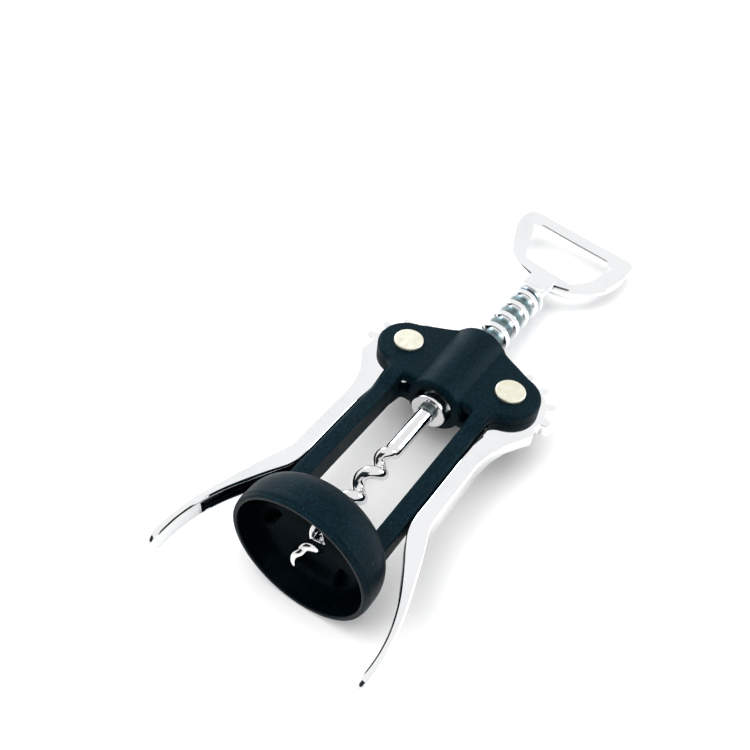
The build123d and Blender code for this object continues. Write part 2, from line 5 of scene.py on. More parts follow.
import bmesh
import bpy
import numpy as np
from bpy.props import FloatProperty, FloatVectorProperty, IntProperty
from mathutils import Matrix


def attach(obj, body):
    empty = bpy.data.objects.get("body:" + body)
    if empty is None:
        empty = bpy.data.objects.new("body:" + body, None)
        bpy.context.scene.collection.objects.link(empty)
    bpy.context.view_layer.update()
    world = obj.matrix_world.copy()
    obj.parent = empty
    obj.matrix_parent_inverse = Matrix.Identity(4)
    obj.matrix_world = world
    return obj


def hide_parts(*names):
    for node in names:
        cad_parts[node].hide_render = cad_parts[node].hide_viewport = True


bl_info = {
    "name": "Wing corkscrew",
    "version": (1, 0, 0),
    "blender": (4, 5, 0),
    "location": "View3D > Sidebar > Corkscrew",
    "description": "Builds a two-lever corkscrew with its finishes and a studio",
    "category": "Add Mesh",
}

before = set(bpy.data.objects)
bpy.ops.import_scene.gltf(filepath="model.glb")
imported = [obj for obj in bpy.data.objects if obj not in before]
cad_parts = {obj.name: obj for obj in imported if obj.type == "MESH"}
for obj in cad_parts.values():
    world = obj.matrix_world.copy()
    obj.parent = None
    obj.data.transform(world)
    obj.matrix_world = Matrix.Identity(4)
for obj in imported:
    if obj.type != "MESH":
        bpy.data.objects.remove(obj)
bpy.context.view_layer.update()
MM = 0.001
WHITE = (1.0, 1.0, 1.0, 1.0)

# Moulding, in millimetres and degrees: dome and core of the bell, ribs, legs, plates and sleeve
DOME_POWER = 2.4
DOME_START, DOME_TOP = 4.5, 17.6
CORE_START, CORE_TOP = 4.2, 15.6
WORM_HOLE = 7.4
RIB_HALF, RIB_INNER, RIB_LOW, RIB_FIRST = 0.6, 15.4, 8.0, 22.5
LEG_INNER, LEG_OUTER, LEG_HALF, LEG_FOOT = 12.12, 17.23, 3.84, 15.0
SLOT_DISC = 15.0
LOBE_RADIUS, LOBE_FILLET = 9.5, 4.0
PLATE_INNER, PLATE_LOW, LEG_JOIN = 6.5, 67.6, 56.2
PLATE_FLANK = [(19.5, 88.74), (15.2, 90.9), (10.8, 93.0), (7.4, 95.0), (PLATE_INNER, 95.2)]
SLEEVE_START, SLEEVE_END, SLEEVE_EDGE = 66.0, 95.4, 0.9
SLEEVE_RADIUS, SLEEVE_GROWTH, SLEEVE_BORE, SLEEVE_LAND = 9.0, 0.4, 6.1, 5.58

# Gear and round rack, in millimetres and degrees
TEETH, TEETH_CUT, FIRST_TOOTH = 12, 8, -2.7
PITCH_RADIUS, GEAR_ROOT, GEAR_TIP = 13.3, 11.8, 14.6
PRESSURE_ANGLE = math.radians(20.0)
HINGE_HOLE = 3.05
GEAR_RIM = 0.32
RINGS, FIRST_RING, ROOT_HALF, CREST_HALF = 9, 69.18, 1.98, 1.06

# Right lever arm: its outer and inner edge, from the gear to the tip
NECK_EDGE = [(23.2, 56.5), (24.08, 60.5), (25.3, 64.0), (26.5, 66.2), (28.4, 69.4), (29.9, 71.9)]
ARM_NECK = [(22.8, 50.0), (22.8, 52.0), (23.3, 56.5), (24.1, 60.5), (25.3, 64.0)]
ARM_OUTSIDE = [(22.8, y) for y in (62.0, 55.0, 45.0, 35.0, 28.5)] + [
    (23.4, 25.0), (25.9, 18.0), (29.6, 6.5), (31.6, -1.2), (32.6, -8.0), (32.9, -14.5), (32.6, -19.5)]
ARM_INSIDE = [(17.5, y) for y in (62.0, 55.0, 45.0, 35.0, 27.0)] + [
    (18.6, 21.6), (22.8, 13.5), (27.2, 4.5), (29.6, -2.6), (30.7, -8.6), (30.9, -13.5), (30.7, -19.5)]
ARM_TIP = -18.95

# Rivets: radius, face and seat of the head, shank, back of the washer, and the face's dents by
# place, width and depth
HEAD_RADIUS, HEAD_TOP, HEAD_SEAT = 4.62, 7.06, 5.77
SHANK_RADIUS, WASHER_BACK = 3.0, -6.36
DENTS = ((-1.2, -2.6, 1.2, 0.22), (1.6, -2.9, 0.9, 0.2), (2.6, 1.4, 1.2, 0.07), (-2.2, 1.2, 1.6, 0.06))

# Worm: rod, ends of the wire, lead, and the height below which its turns close up
ROD_RADIUS, WIRE_START, WIRE_POINT, LEAD, CLOSING = 2.6, 44.7, 0.3, 10.2, 25.0

# Handle: corners of its outside and its opening, and sections of its neck as (y, half width,
# half height, power), the last ones a flat tab under the ring
HANDLE_CENTRE = (0.0, 155.0)
HANDLE_OUTSIDE = [(4.5, 138.1), (10.6, 140.0), (17.2, 143.8), (21.4, 150.6), (22.9, 158.5), (22.9, 169.6),
                  (-20.6, 172.1), (-21.9, 165.5), (-20.9, 157.5), (-16.6, 146.0), (-10.5, 140.2), (-4.3, 138.2)]
HANDLE_OUTSIDE_RADII = [4.0, 6.0, 10.0, 12.0, 10.0, 2.6, 3.2, 8.0, 10.0, 9.0, 6.0, 4.0]
HANDLE_OPENING = [(-9.0, 144.7), (9.0, 143.1), (13.4, 149.0), (16.5, 160.6), (14.0, 163.9), (-13.4, 165.6),
                  (-15.4, 163.4), (-11.3, 149.0)]
NECK = [(128.4, 5.35, 5.35, 2.0), (129.6, 5.25, 4.9, 2.4), (131.0, 5.05, 4.2, 3.2), (132.4, 4.8, 3.5, 4.6),
        (133.5, 4.62, 2.98, 7.0)]
TAB_PLACES, TAB_HALF, TAB_POWER = (133.7, 133.95, 137.0, 141.5), 4.6, 9.0

# Stage, in metres
CAMERA_TARGET = (-0.0207135, 0.0659599, 0.0)
TOOL_MIDDLE = (0.0, 0.08, 0.0)
GROUND_LEVEL, GROUND_HALF, GROUND_TOUCH = -0.0213, 12.0, 0.002
SQUARE = ((-1, -1), (1, -1), (1, 1), (-1, 1))


# ---- sizes and colours


def metres(name, description, default):
    """Length in metres that a user may change."""
    return FloatProperty(name=name, description=description, default=default, unit="LENGTH")


def degrees(name, description, default):
    """Angle that a user may change."""
    return FloatProperty(name=name, description=description, default=math.radians(default), subtype="ANGLE")


def tint(name, description, default):
    """Colour that a user may change."""
    return FloatVectorProperty(name=name, description=description, default=default, subtype="COLOR")


class CorkscrewFrameSizes(bpy.types.PropertyGroup):
    """Sizes of the moulded frame."""

    bell_radius: metres("Bell radius", "Outside of the bell", 0.02119)
    bell_bore: metres("Bell bore", "Inside of the bell's mouth", 0.0194)
    lip_radius: metres("Lip radius", "Rim of the bell", 0.0208)
    rivet_x: metres("Rivet offset", "Rivet from the screw's axis", 0.01775)
    rivet_y: metres("Rivet height", "Rivet above the bell's mouth", 0.0794)
    plate_top: metres("Plate face", "Plate's face from the lever plane", 0.00576)
    plate_edge: metres("Plate edge", "Rounding of the plate's rim", 0.0011)
    slot_half: metres("Half slot", "Half of the gap between the plates", 0.0022)
    rib_count: IntProperty(name="Bell ribs", description="Ribs that centre the bottle", default=8, min=0)


class CorkscrewLeverSizes(bpy.types.PropertyGroup):
    """Sizes of the levers."""

    half_height: metres("Half height", "Half of the arm's height", 0.00336)
    gear_half: metres("Half gear", "Half of the gear's thickness", 0.0021)
    wall: metres("Arm wall", "Outer wall of the channel", 0.0019)
    flange: metres("Arm flange", "Thickness of the channel's flanges", 0.0013)
    edge: metres("Arm edge", "Rounding of the arm's corners", 0.0007)


class CorkscrewScrewSizes(bpy.types.PropertyGroup):
    """Sizes of the shaft, worm and handle."""

    crest: metres("Ring radius", "Crest of the shaft's rings", 0.0055)
    root: metres("Root radius", "Shaft between the rings", 0.003)
    wire: metres("Wire radius", "Radius of the worm's wire", 0.00185)
    helix: metres("Coil radius", "Middle of the worm's coil", 0.00195)
    handle_roll: degrees("Handle roll", "Rest turn of the handle", 4.8)
    handle_half: metres("Half handle", "Half of the handle's thickness at the neck", 0.0029)


class CorkscrewFinishes(bpy.types.PropertyGroup):
    """Colours of the finishes."""

    moulding: tint("Moulding", "Black moulded plastic", (0.0010, 0.0056, 0.0088))
    chrome: tint("Chrome", "Chrome plate", (0.88, 0.89, 0.90))
    worm_steel: tint("Worm", "Plated wire", (0.80, 0.79, 0.79))
    nickel: tint("Rivets", "Pale nickel", (0.87, 0.85, 0.72))
    floor: tint("Floor", "Pale ground", (0.90, 0.90, 0.90))


class CorkscrewStage(bpy.types.PropertyGroup):
    """Camera and ground."""

    azimuth: degrees("Azimuth", "Camera's direction round the object", 29.523)
    elevation: degrees("Elevation", "Camera above the lever plane", 45.372)
    roll: degrees("Roll", "Camera's turn about its view", 6.156)
    distance: metres("Distance", "Camera from its target", 0.2613)
    lens: FloatProperty(name="Lens", description="Focal length on a 36 mm frame", default=41.106, unit="CAMERA")
    floor_tilt: degrees("Floor tilt", "Ground's slope under the tool", 5.5)


# ---- surfaces


class Shell:
    """Closed surfaces gathered into one mesh, in millimetres."""

    def __init__(self):
        self.points = []
        self.faces = []
        self.count = 0

    def add(self, points, faces):
        """Points, and blocks of faces that index them."""
        points = np.asarray(points, float).reshape(-1, 3)
        self.points.append(points)
        for block in faces:
            self.faces.extend((block + self.count).tolist())
        self.count += len(points)
        return self

    def add_tube(self, grid):
        """Grid of closed loops carried along a path, ended by flat caps."""
        rows, columns = grid.shape[:2]
        caps = [np.arange(columns)[None, ::-1], (rows - 1) * columns + np.arange(columns)[None, :]]
        return self.add(grid, [quads(rows, columns, False, True)] + caps)

    def add_ring(self, grid):
        """Grid that closes on itself both ways."""
        return self.add(grid, [quads(*grid.shape[:2], True, True)])

    def add_turned(self, profile, centre=(0.0, 0.0), axis=1, steps=96):
        """Profile of radius and height carried round an axis: (r cos a, height, r sin a).

        A profile that starts on the axis ends there too, and any other closes on itself.
        """
        profile = np.asarray(profile, float)
        a = np.linspace(0, 2 * math.pi, steps, endpoint=False)[:, None]
        place = [profile[:, 0] * np.cos(a) + centre[0], profile[:, 0] * np.sin(a) + centre[1]]
        place.insert(axis, profile[:, 1])
        return self.add(grid_of(*place), [quads(steps, len(profile), True, profile[0, 0] > 0)])

    def add_mirror(self, plane):
        """Copy everything so far across one axis, 0 for X, 1 for Y and 2 for Z."""
        points = np.concatenate(self.points)
        flipped = points.copy()
        flipped[:, plane] *= -1
        extra = [[index + self.count for index in reversed(face)] for face in self.faces]
        self.points.append(flipped)
        self.faces.extend(extra)
        self.count += len(points)

    def dress(self, name, crease, material, body, node, slot):
        """Mesh object with merged points, outward faces and hard edges above the crease angle.

        It gets its finish, its body, and the CAD node that it replaces.
        """
        mesh = bpy.data.meshes.new(name)
        mesh.from_pydata((np.concatenate(self.points) * MM).tolist(), [], self.faces)
        work = bmesh.new()
        work.from_mesh(mesh)
        bmesh.ops.remove_doubles(work, verts=work.verts, dist=2e-7)
        bmesh.ops.recalc_face_normals(work, faces=work.faces)
        work.to_mesh(mesh)
        work.free()
        mesh.polygons.foreach_set("use_smooth", np.ones(len(mesh.polygons), bool))
        mesh.set_sharp_from_angle(angle=math.radians(crease))
        mesh.materials.append(material)
        piece = bpy.data.objects.new(name, mesh)
        bpy.context.scene.collection.objects.link(piece)
        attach(piece, body)
        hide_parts(node)
        return piece


def grid_of(x, y, z):
    """Grid of points from three arrays that fit one grid."""
    return np.stack(np.broadcast_arrays(x, y, z), 2)


def quads(rows, columns, wrap_rows, wrap_columns):
    """Four-sided faces of a grid of points, closed on itself where a wrap is asked for."""
    i = np.arange(rows if wrap_rows else rows - 1)[:, None]
    j = np.arange(columns if wrap_columns else columns - 1)[None, :]
    i2 = (i + 1) % rows
    j2 = (j + 1) % columns
    corners = [i * columns + j, i2 * columns + j, i2 * columns + j2, i * columns + j2]
    return np.stack([np.broadcast_to(c, (i.shape[0], j.shape[1])).ravel() for c in corners], 1)


def smooth(x):
    """Cubic step from 0 to 1 with level ends."""
    x = np.clip(x, 0.0, 1.0)
    return x * x * (3 - 2 * x)


def soft_path(points, per_span=10):
    """Catmull-Rom curve through points: each span is a cubic whose slope at a point is half the chord past it."""
    p = np.asarray(points, float)
    p = np.vstack([2 * p[0] - p[1], p, 2 * p[-1] - p[-2]])
    t = np.linspace(0, 1, per_span, endpoint=False)[None, :, None]
    a, b, c, d = p[:-3, None], p[1:-2, None], p[2:-1, None], p[3:, None]
    curve = 0.5 * (2 * b + (c - a) * t + (2 * a - 5 * b + 4 * c - d) * t**2 + (3 * b - a - 3 * c + d) * t**3)
    return np.vstack([curve.reshape(-1, 2), p[-2]])


def rounded(corners, radii, steps=7, closed=True, hold=0.15):
    """Polygon whose corners are arcs, each arc tangent to both its sides, with a held point before and after."""
    p = np.asarray(corners, float)
    radii = np.broadcast_to(radii, len(p))
    out = []
    for k in range(len(p)):
        here = p[k]
        if not closed and k in (0, len(p) - 1):
            out.append(here[None])
            continue
        before = here - p[k - 1]
        after = p[(k + 1) % len(p)] - here
        reach = min(np.linalg.norm(before), np.linalg.norm(after)) * 0.49
        before /= np.linalg.norm(before)
        after /= np.linalg.norm(after)
        turn = math.atan2(before[0] * after[1] - before[1] * after[0], before @ after)
        if radii[k] <= 0 or abs(turn) < 1e-3:
            out.append(here[None])
            continue
        tangent = min(radii[k] * math.tan(abs(turn) / 2), reach)
        radius = tangent / math.tan(abs(turn) / 2)
        side = np.array([-before[1], before[0]]) * math.copysign(1, turn)
        start = here - before * tangent
        angle = np.linspace(0, abs(turn), steps + 1)[:, None]
        arc = start + before * radius * np.sin(angle) + side * radius * (1 - np.cos(angle))
        gap = min(hold, (reach - tangent) * 0.5)
        if gap > 0.01:
            arc = np.vstack([start - before * gap, arc, arc[-1] + after * gap])
        out.append(arc)
    return np.vstack(out)


def box(left, right, low, high):
    """Corners of a rectangle, counter-clockwise from its lower left."""
    return [(left, low), (right, low), (right, high), (left, high)]


def outward(outline):
    """Unit normals of a counter-clockwise outline, square to the chord past each point."""
    chord = np.roll(outline, -1, 0) - np.roll(outline, 1, 0)
    normal = np.stack([chord[:, 1], -chord[:, 0]], 1)
    return normal / np.maximum(np.linalg.norm(normal, axis=1, keepdims=True), 1e-9)


def slab_rings(outline, half, edge, steps, past):
    """Rings round a slab with quarter-round rims: inset e(1 - sin a), height -h + e(1 - cos a), and back above.

    The first and last ring lie a little past the rim on the flat faces.
    """
    a = np.linspace(0, math.pi / 2, steps + 1)
    low = edge * (1 - np.sin(a)), edge * (1 - np.cos(a)) - half
    inset = np.concatenate([[edge + past], low[0], low[0][::-1], [edge + past]])
    height = np.concatenate([[-half], low[1], -low[1][::-1], [half]])
    points = outline - outward(outline) * inset[:, None, None]
    return np.concatenate([points, np.broadcast_to(height[:, None, None], points.shape[:2] + (1,))], 2)


def rolled(x, y, z, roll):
    """Points turned about Y."""
    return grid_of(x * math.cos(roll) + z * math.sin(roll), y, z * math.cos(roll) - x * math.sin(roll))


# ---- finishes


def math_node(operation, swapped=False):
    """Operator that adds one Math node."""

    def join(self, other):
        first, second = (other, self) if swapped else (self, other)
        node = self.nodes.node("ShaderNodeMath", {0: first, 1: second}, operation=operation)
        return Amount(self.nodes, node.outputs[0])

    return join


class Amount:
    """A number that varies over a surface. Plain operators add the Math nodes."""

    __add__ = __radd__ = math_node("ADD")
    __mul__ = __rmul__ = math_node("MULTIPLY")
    __sub__ = math_node("SUBTRACT")
    __rsub__ = math_node("SUBTRACT", True)
    __truediv__ = math_node("DIVIDE")
    __pow__ = math_node("POWER")
    at_least = math_node("MAXIMUM")

    def __init__(self, nodes, socket):
        self.nodes = nodes
        self.socket = socket

    def between(self, low, high):
        """0 below low, 1 above high, and a smooth rise between."""
        sockets = {"Value": self, "From Min": low, "From Max": high}
        node = self.nodes.node("ShaderNodeMapRange", sockets, interpolation_type="SMOOTHSTEP")
        return Amount(self.nodes, node.outputs[0])


class Nodes:
    """A node tree under construction."""

    def __init__(self, tree):
        self.tree = tree
        tree.nodes.clear()

    def node(self, kind, sockets, **settings):
        """New node: its settings are set first, then the values or links of its sockets."""
        node = self.tree.nodes.new(kind)
        for key, value in settings.items():
            setattr(node, key, value)
        for key, value in sockets.items():
            value = value.socket if isinstance(value, Amount) else value
            if isinstance(value, bpy.types.NodeSocket):
                self.tree.links.new(value, node.inputs[key])
            else:
                node.inputs[key].default_value = value
        return node

    def in_view(self):
        """1 where the eye or a reflection looks, and 0 for the light on the tool."""
        path = self.node("ShaderNodeLightPath", {})
        return Amount(self, path.outputs["Is Camera Ray"]).at_least(path.outputs["Is Glossy Ray"])


class Finish(Nodes):
    """A material under construction."""

    def __init__(self, name):
        self.material = bpy.data.materials.new(name)
        self.material.use_nodes = True
        super().__init__(self.material.node_tree)
        self.place = self.node("ShaderNodeTexCoord", {}).outputs["Object"]

    def stretched(self, scale):
        """Object coordinates stretched by a scale on each axis."""
        return self.node("ShaderNodeMapping", {"Vector": self.place, "Scale": scale}).outputs[0]

    def length(self, vector):
        """Length of a vector at each place."""
        return Amount(self, self.node("ShaderNodeVectorMath", {0: vector}, operation="LENGTH").outputs["Value"])

    def along_y(self):
        """Place along the screw's axis."""
        return Amount(self, self.node("ShaderNodeSeparateXYZ", {0: self.place}).outputs["Y"])

    def noise(self, scale, detail, roughness, where=None):
        sockets = {"Vector": where or self.place, "Scale": scale, "Detail": detail, "Roughness": roughness}
        return Amount(self, self.node("ShaderNodeTexNoise", sockets).outputs[0])

    def blend(self, share, first, second):
        """Colour between two colours by a share."""
        return self.node("ShaderNodeMix", {0: share, 6: first, 7: second}, data_type="RGBA").outputs[2]

    def bump(self, height, distance, strength, normal=None):
        sockets = {"Height": height, "Distance": distance, "Strength": strength}
        if normal is not None:
            sockets["Normal"] = normal
        return self.node("ShaderNodeBump", sockets).outputs[0]

    def shaded(self, shader):
        self.node("ShaderNodeOutputMaterial", {"Surface": shader.outputs[0]})
        return self.material

    def surface(self, sockets):
        return self.shaded(self.node("ShaderNodeBsdfPrincipled", sockets))

    def plated(self, base):
        """Worn plate: its colour and roughness with faint smudges, and the height of a slow ripple."""
        ripple = self.noise(90.0, 2.0, 0.5)
        smudge = self.noise(60.0, 4.0, 0.6).between(0.45, 0.8)
        return self.blend(smudge, colour(base), colour(base, 0.93)), smudge * 0.07, ripple

    def metal(self, tone, rough, relief):
        return self.surface({"Base Color": tone, "Metallic": 1.0, "Roughness": rough, "Normal": relief})


def colour(value, scale=1.0):
    return (value[0] * scale, value[1] * scale, value[2] * scale, 1.0)


def moulded_plastic(base):
    """Black moulding: fine spark-eroded grain, pale dust specks and a cloudy gloss.

    Inside the bell the mould's core was shiny, so the plastic there is smoother; its colour is also darkened there as
    painted shade. The inside is where (r / 20.3)^2.4 + ((y - 4.35) / 12.2)^2.4 stays below 1, in millimetres.
    """
    f = Finish("moulded_plastic")
    radius = f.length(f.stretched((1.0, 0.0, 1.0)))
    height = (f.along_y() - 0.00435).at_least(0.0)
    bell = (radius / 0.0203) ** DOME_POWER + (height / 0.0122) ** DOME_POWER
    shaded_polished_inside = 1.0 - bell.between(0.93, 1.03)
    grain = f.noise(1250.0, 3.0, 0.7)
    cloud = f.noise(120.0, 3.0, 0.6)
    speck = f.noise(1900.0, 1.0, 0.5).between(0.70, 0.80)
    tone = f.blend(cloud.between(0.3, 0.7), colour(base, 0.75), colour(base, 1.1))
    tone = f.blend(grain.between(0.42, 0.66) * 0.85, tone, colour(base, 2.3))
    tone = f.blend(speck * 0.5, tone, (0.06, 0.08, 0.09, 1.0))
    # painted shade: the inside of the bell gets a much darker colour, on top of its lower roughness
    tone = f.blend(shaded_polished_inside * 0.8, tone, colour(base, 0.08))
    rough = 0.42 + cloud.between(0.3, 0.75) * 0.10 + grain * 0.10 - shaded_polished_inside * 0.24
    relief = f.bump(grain * (1.0 - shaded_polished_inside * 0.7), 0.00011, 0.8)
    return f.surface({"Base Color": tone, "Roughness": rough, "Normal": relief, "Specular IOR Level": 0.075,
                      "Specular Tint": (0.55, 0.86, 1.0, 1.0)})


def bright_chrome(base, name="bright_chrome", ripple=0.00004):
    """Chrome plate over a casting: slow ripple, hairline polishing marks and faint smudges."""
    f = Finish(name)
    tone, rough, swell = f.plated(base)
    hair = f.noise(700.0, 2.0, 0.6, f.stretched((1.0, 0.12, 1.0)))
    relief = f.bump(hair, 0.0000035, 0.6, f.bump(swell, ripple, 0.8))
    return f.metal(tone, 0.055 + rough + hair * 0.03, relief)


def lever_chrome(base):
    """Chrome plate whose colour is darkened and roughness raised in the arm's hollow, by the mesh's own "hollow" share.
    """
    f = Finish("lever_chrome")
    dark_hollow = Amount(f, f.node("ShaderNodeAttribute", {}, attribute_name="hollow").outputs["Fac"]).between(0.35, 0.65)
    tone, rough, swell = f.plated(base)
    tone = f.blend(dark_hollow, tone, (0.010, 0.016, 0.021, 1.0))
    return f.metal(tone, 0.06 + rough + dark_hollow * 0.22, f.bump(swell, 0.00004, 0.8))


def mark_hollow(piece):
    """Share of hollow at each point: 1 below the flanges' lips and 0 outside, by cubic steps of height and place."""
    mesh = piece.data
    place = np.empty(len(mesh.vertices) * 3)
    mesh.vertices.foreach_get("co", place)
    y, z = place[1::3] / MM, np.abs(place[2::3]) / MM
    share = (1 - smooth((z - 2.0) / 0.25)) * smooth((y + 2.7) / 1.2) * smooth((52.0 - y) / 3.0)
    mesh.attributes.new("hollow", "FLOAT", "POINT").data.foreach_set("value", share)


def ringed_chrome(base):
    """Chrome on the rings' crests; down in the grooves between them the plating is rougher and mottled, and its colour
    is darkened as painted shade.
    """
    f = Finish("ringed_chrome")
    radius = f.length(f.stretched((1.0, 0.0, 1.0)))
    shaded_dull_groove = 1.0 - radius.between(0.0038, 0.0050)
    mottle = f.noise(900.0, 3.0, 0.7)
    # painted shade: the grooves between the rings get a dark tone, along with more roughness and bump
    shaded_groove_tone = f.blend(mottle.between(0.35, 0.65), (0.20, 0.26, 0.27, 1.0), (0.33, 0.40, 0.41, 1.0))
    tone = f.blend(shaded_dull_groove, colour(base), shaded_groove_tone)
    return f.metal(tone, 0.06 + shaded_dull_groove * 0.26, f.bump(mottle * shaded_dull_groove, 0.00006, 0.7))


def pale_nickel(base):
    """Rivet metal: satin, a little yellow, with marks of the setting tool."""
    f = Finish("pale_nickel")
    stain = f.noise(420.0, 3.0, 0.6)
    marks = f.noise(1500.0, 2.0, 0.5)
    tone = f.blend(stain.between(0.35, 0.7), colour(base), colour((base[0] * 0.93, base[1] * 0.9, base[2] * 0.82)))
    return f.metal(tone, 0.34 + stain * 0.14, f.bump(marks, 0.00003, 0.5))


# ---- moulded frame


def dome(radius, start, top, hole, steps=30):
    """Quarter superellipse: r = R cos(a)^(2/p), y = start + rise sin(a)^(2/p), from the wall to the hole."""
    a = math.acos((hole / radius) ** (DOME_POWER / 2)) * np.linspace(0, 1, steps)
    power = 2 / DOME_POWER
    return np.stack([radius * np.cos(a) ** power, start + (top - start) * np.sin(a) ** power], 1)


def bell_profile(s):
    """Closed half section of the bell, from the lip up the outside and down the inside."""
    radius, bore, lip = s.bell_radius / MM, s.bell_bore / MM, s.lip_radius / MM
    rim = rounded([(bore, 1.6), (bore, 0.0), (lip, 0.0), (lip + 0.12, 0.75), (radius, 1.7), (radius, 3.4)],
                  [0, 0.4, 0.45, 1.5, 1.5, 0], steps=6, closed=False)
    outside = dome(radius, DOME_START, DOME_TOP, WORM_HOLE)
    inside = dome(bore, CORE_START, CORE_TOP, WORM_HOLE)[::-1]
    mouth = rounded([outside[-1] + (0.3, 0.02), (WORM_HOLE, outside[-1][1]), (WORM_HOLE, inside[0][1]),
                     inside[0] + (0.3, -0.02)], [0, 0.4, 0.3, 0], steps=4, closed=False)
    return np.vstack([rim, outside[:-1], mouth, inside[1:]])


def add_bell(shell, s):
    """Bell turned about the screw's axis, with thin ribs inside that follow its wall."""
    shell.add_turned(bell_profile(s), steps=160)
    wall = dome(s.bell_bore / MM + 0.9, CORE_START, CORE_TOP + 0.9, RIB_INNER + 0.2, steps=14)
    wall = wall[wall[:, 1] > RIB_LOW + 0.4]
    outline = np.vstack([[(RIB_INNER, RIB_LOW), (wall[0][0], RIB_LOW)], wall, [(RIB_INNER, wall[-1][1])]])
    outline = rounded(outline, [0.35] + [0] * (len(outline) - 1), steps=4)
    rings = slab_rings(outline, RIB_HALF, 0.22, 3, 0.15)
    for k in range(s.rib_count):
        a = math.radians(RIB_FIRST + 360.0 * k / s.rib_count)
        shell.add_tube(rolled(rings[..., 0], rings[..., 1], rings[..., 2], -a))


def add_leg(shell, s):
    """Right leg: a bar of rounded section from inside the dome's wall to the gear slot."""
    section = rounded(box(LEG_INNER, LEG_OUTER, -LEG_HALF, LEG_HALF), [0.35, 1.15, 1.15, 0.35], steps=6)
    low = LEG_FOOT - (section[:, 0] - 12.1) / 5.15 * 3.1
    high = s.rivet_y / MM - np.sqrt(SLOT_DISC**2 - (section[:, 0] - s.rivet_x / MM) ** 2)
    y = low + (high - low) * np.linspace(0, 1, 40)[:, None]
    shell.add_tube(grid_of(section[:, 0], y, section[:, 1]))


def plate_outline(s):
    """Right plate, counter-clockwise: lower edge, leg, concave fillet, round lobe and flank."""
    cx, cy = s.rivet_x / MM, s.rivet_y / MM
    leg = LEG_OUTER + 0.03
    middle = leg + LOBE_FILLET
    across = middle - cx
    fy = cy - math.sqrt((LOBE_RADIUS + LOBE_FILLET) ** 2 - across**2)
    touch = math.atan2(fy - cy, across)
    lower = rounded([(PLATE_INNER, PLATE_LOW), (12.08, PLATE_LOW), (12.08, LEG_JOIN), (leg, LEG_JOIN), (leg, fy - 0.4)],
                    [0, 1.1, 0.1, 0.1, 0], steps=6, closed=False)
    a = np.linspace(math.pi, math.pi + touch, 12)[:, None]
    fillet = np.hstack([middle + LOBE_FILLET * np.cos(a), fy + LOBE_FILLET * np.sin(a)])
    a = np.linspace(touch, math.radians(79.4), 60)[1:-1, None]
    lobe = np.hstack([cx + LOBE_RADIUS * np.cos(a), cy + LOBE_RADIUS * np.sin(a)])
    return np.vstack([lower, fillet, lobe, soft_path(PLATE_FLANK, 6)])


def distance(points, outline):
    """Least distance of each point from the sides of a closed outline."""
    side = np.roll(outline, -1, 0) - outline
    away = points[:, None] - outline[None]
    share = np.sum(away * side, 2) / np.maximum(np.sum(side * side, 1), 1e-12)
    foot = away - np.clip(share, 0, 1)[..., None] * side
    return np.sqrt(np.sum(foot * foot, 2).min(1))


def filled(outline, step=0.7):
    """Outline with points added on sides of two steps and more."""
    out = []
    for here, there in zip(outline, np.roll(outline, -1, 0)):
        count = max(1, int(np.linalg.norm(there - here) / step))
        out.append(here + (there - here) * np.linspace(0, 1, count, endpoint=False)[:, None])
    return np.vstack(out)


def hinge_hole(outline, centre):
    """Points of the rivet's hole, each on the ray from its centre to a point of the outline."""
    ray = outline - centre
    return centre + ray / np.linalg.norm(ray, axis=1, keepdims=True) * HINGE_HOLE


def level(points, height):
    """Points of the plane put at one height."""
    return np.column_stack([points, np.full(len(points), height)])


def add_plate(shell, s):
    """Front right plate, closed on itself round the rivet's hole.

    Rings run from the outline to the hole. The rim's height follows a quarter circle of the
    distance from the outline, and the face sinks onto the leg by a cubic step.
    """
    outline = filled(plate_outline(s))
    centre = np.array([s.rivet_x / MM, s.rivet_y / MM])
    slot, top, edge = s.slot_half / MM, s.plate_top / MM, s.plate_edge / MM
    hole = hinge_hole(outline, centre)
    rings = [level(hole, slot), level(outline, slot)]
    for share in np.linspace(0, 1, 34) ** 2:
        points = outline + (hole - outline) * share
        face = top - (top - LEG_HALF + 0.04) * smooth((PLATE_LOW - 0.1 - points[:, 1]) / 9.5)
        near = np.clip(edge - distance(points, outline), 0, edge)
        rings.append(np.column_stack([points, face - edge + np.sqrt(edge**2 - near**2)]))
    shell.add_ring(np.stack(rings))


